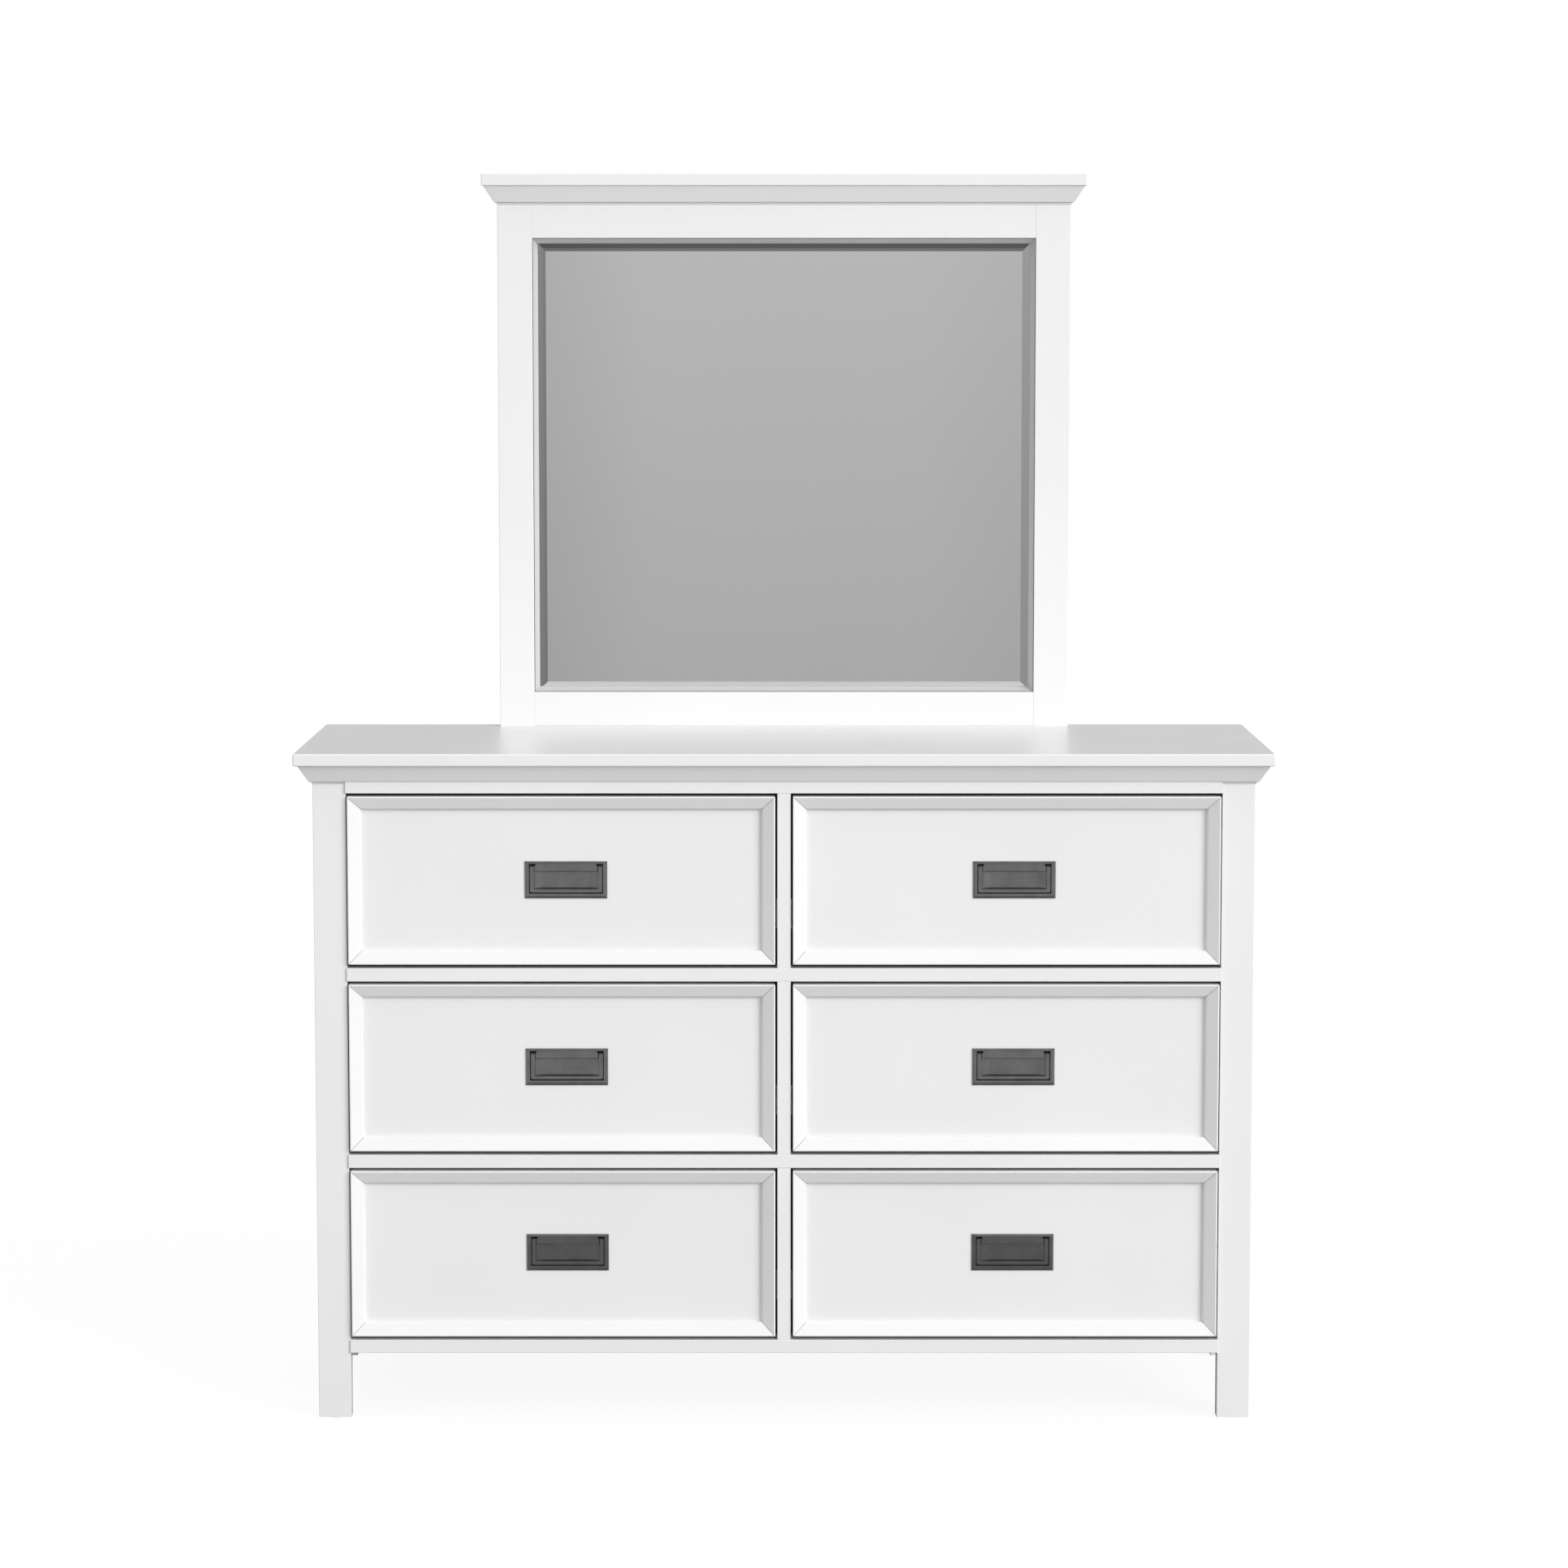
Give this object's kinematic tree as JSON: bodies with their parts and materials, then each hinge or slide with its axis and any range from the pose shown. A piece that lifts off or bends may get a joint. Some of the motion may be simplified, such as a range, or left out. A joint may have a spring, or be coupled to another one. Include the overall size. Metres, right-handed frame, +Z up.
{
  "type": "dresser with mirror",
  "caption": "White dresser with moulded inset drawers on side runners, recessed drop-bail pulls, and an upright framed bevelled mirror screwed to its back.",
  "frame": {"origin": "on the floor, at the centre of the bounding box's base", "axes": "+X to the right as seen by someone facing the drawers, +Y from the drawers to the back, +Z up"},
  "size_m": [1.42, 0.5, 1.829],
  "materials": {
    "white_lacquer": "satin white lacquer over sanded wood",
    "drawer_wood": "clear-sealed pale hardwood and plywood",
    "case_wood": "planed, unpainted",
    "hardboard": "smooth pressed board",
    "zinc_steel": "zinc plated, cold rolled",
    "gunmetal": "satin gunmetal plating on cast zinc",
    "silvered_glass": "polished, bevelled and silvered",
    "nylon": "moulded nylon"
  },
  "bodies": {
    "root": {"top_board": "white_lacquer", "top_moulding": "white_lacquer", "front_stiles": "white_lacquer", "side_stiles": "white_lacquer", "side_rails": "white_lacquer", "side_panels": "white_lacquer", "front_rails": "white_lacquer", "centre_stiles": "white_lacquer", "centre_partition": "case_wood", "rear_rails": "case_wood", "back_and_bottom_panels": "hardboard", "corner_blocks": "case_wood", "foot_glides": "nylon", "runner_battens": "case_wood", "runner_channels": "zinc_steel", "mirror_stiles": "white_lacquer", "mirror_rails": "white_lacquer", "mirror_sticking": "white_lacquer", "mirror_glass": "silvered_glass", "mirror_backing": "hardboard", "mirror_moulding": "white_lacquer", "mirror_cap": "white_lacquer", "mirror_supports": "white_lacquer", "support_screws": "zinc_steel"},
    "drawer_bottom_left": {"drawer_panel_bottom_left": "white_lacquer", "drawer_moulding_bottom_left": "white_lacquer", "drawer_box_bottom_left": "drawer_wood", "drawer_hardware_bottom_left": "zinc_steel", "pull_plate_bottom_left": "gunmetal"},
    "handle_bottom_left": {"bail_bottom_left": "gunmetal"},
    "drawer_bottom_right": {"drawer_panel_bottom_right": "white_lacquer", "drawer_moulding_bottom_right": "white_lacquer", "drawer_box_bottom_right": "drawer_wood", "drawer_hardware_bottom_right": "zinc_steel", "pull_plate_bottom_right": "gunmetal"},
    "handle_bottom_right": {"bail_bottom_right": "gunmetal"},
    "drawer_middle_left": {"drawer_panel_middle_left": "white_lacquer", "drawer_moulding_middle_left": "white_lacquer", "drawer_box_middle_left": "drawer_wood", "drawer_hardware_middle_left": "zinc_steel", "pull_plate_middle_left": "gunmetal"},
    "handle_middle_left": {"bail_middle_left": "gunmetal"},
    "drawer_middle_right": {"drawer_panel_middle_right": "white_lacquer", "drawer_moulding_middle_right": "white_lacquer", "drawer_box_middle_right": "drawer_wood", "drawer_hardware_middle_right": "zinc_steel", "pull_plate_middle_right": "gunmetal"},
    "handle_middle_right": {"bail_middle_right": "gunmetal"},
    "drawer_top_left": {"drawer_panel_top_left": "white_lacquer", "drawer_moulding_top_left": "white_lacquer", "drawer_box_top_left": "drawer_wood", "drawer_hardware_top_left": "zinc_steel", "pull_plate_top_left": "gunmetal"},
    "handle_top_left": {"bail_top_left": "gunmetal"},
    "drawer_top_right": {"drawer_panel_top_right": "white_lacquer", "drawer_moulding_top_right": "white_lacquer", "drawer_box_top_right": "drawer_wood", "drawer_hardware_top_right": "zinc_steel", "pull_plate_top_right": "gunmetal"},
    "handle_top_right": {"bail_top_right": "gunmetal"}
  },
  "joints": [
    {"name": "drawer_bottom_left_slide", "type": "slide", "parent": "root", "child": "drawer_bottom_left", "axis": [0, -1, 0], "range_m": [0, 0.28]},
    {"name": "bail_bottom_left_hinge", "type": "hinge", "parent": "drawer_bottom_left", "child": "handle_bottom_left", "pos_m": [-0.31738, -0.2146, 0.2642], "axis": [-1, 0, 0], "range_deg": [0, 85]},
    {"name": "drawer_bottom_right_slide", "type": "slide", "parent": "root", "child": "drawer_bottom_right", "axis": [0, -1, 0], "range_m": [0, 0.28]},
    {"name": "bail_bottom_right_hinge", "type": "hinge", "parent": "drawer_bottom_right", "child": "handle_bottom_right", "pos_m": [0.33537, -0.2146, 0.2642], "axis": [-1, 0, 0], "range_deg": [0, 85]},
    {"name": "drawer_middle_left_slide", "type": "slide", "parent": "root", "child": "drawer_middle_left", "axis": [0, -1, 0], "range_m": [0, 0.28]},
    {"name": "bail_middle_left_hinge", "type": "hinge", "parent": "drawer_middle_left", "child": "handle_middle_left", "pos_m": [-0.31738, -0.2146, 0.5397], "axis": [-1, 0, 0], "range_deg": [0, 85]},
    {"name": "drawer_middle_right_slide", "type": "slide", "parent": "root", "child": "drawer_middle_right", "axis": [0, -1, 0], "range_m": [0, 0.28]},
    {"name": "bail_middle_right_hinge", "type": "hinge", "parent": "drawer_middle_right", "child": "handle_middle_right", "pos_m": [0.33537, -0.2146, 0.5397], "axis": [-1, 0, 0], "range_deg": [0, 85]},
    {"name": "drawer_top_left_slide", "type": "slide", "parent": "root", "child": "drawer_top_left", "axis": [0, -1, 0], "range_m": [0, 0.28]},
    {"name": "bail_top_left_hinge", "type": "hinge", "parent": "drawer_top_left", "child": "handle_top_left", "pos_m": [-0.31738, -0.2146, 0.8152], "axis": [-1, 0, 0], "range_deg": [0, 85]},
    {"name": "drawer_top_right_slide", "type": "slide", "parent": "root", "child": "drawer_top_right", "axis": [0, -1, 0], "range_m": [0, 0.28]},
    {"name": "bail_top_right_hinge", "type": "hinge", "parent": "drawer_top_right", "child": "handle_top_right", "pos_m": [0.33537, -0.2146, 0.8152], "axis": [-1, 0, 0], "range_deg": [0, 85]}
  ]
}
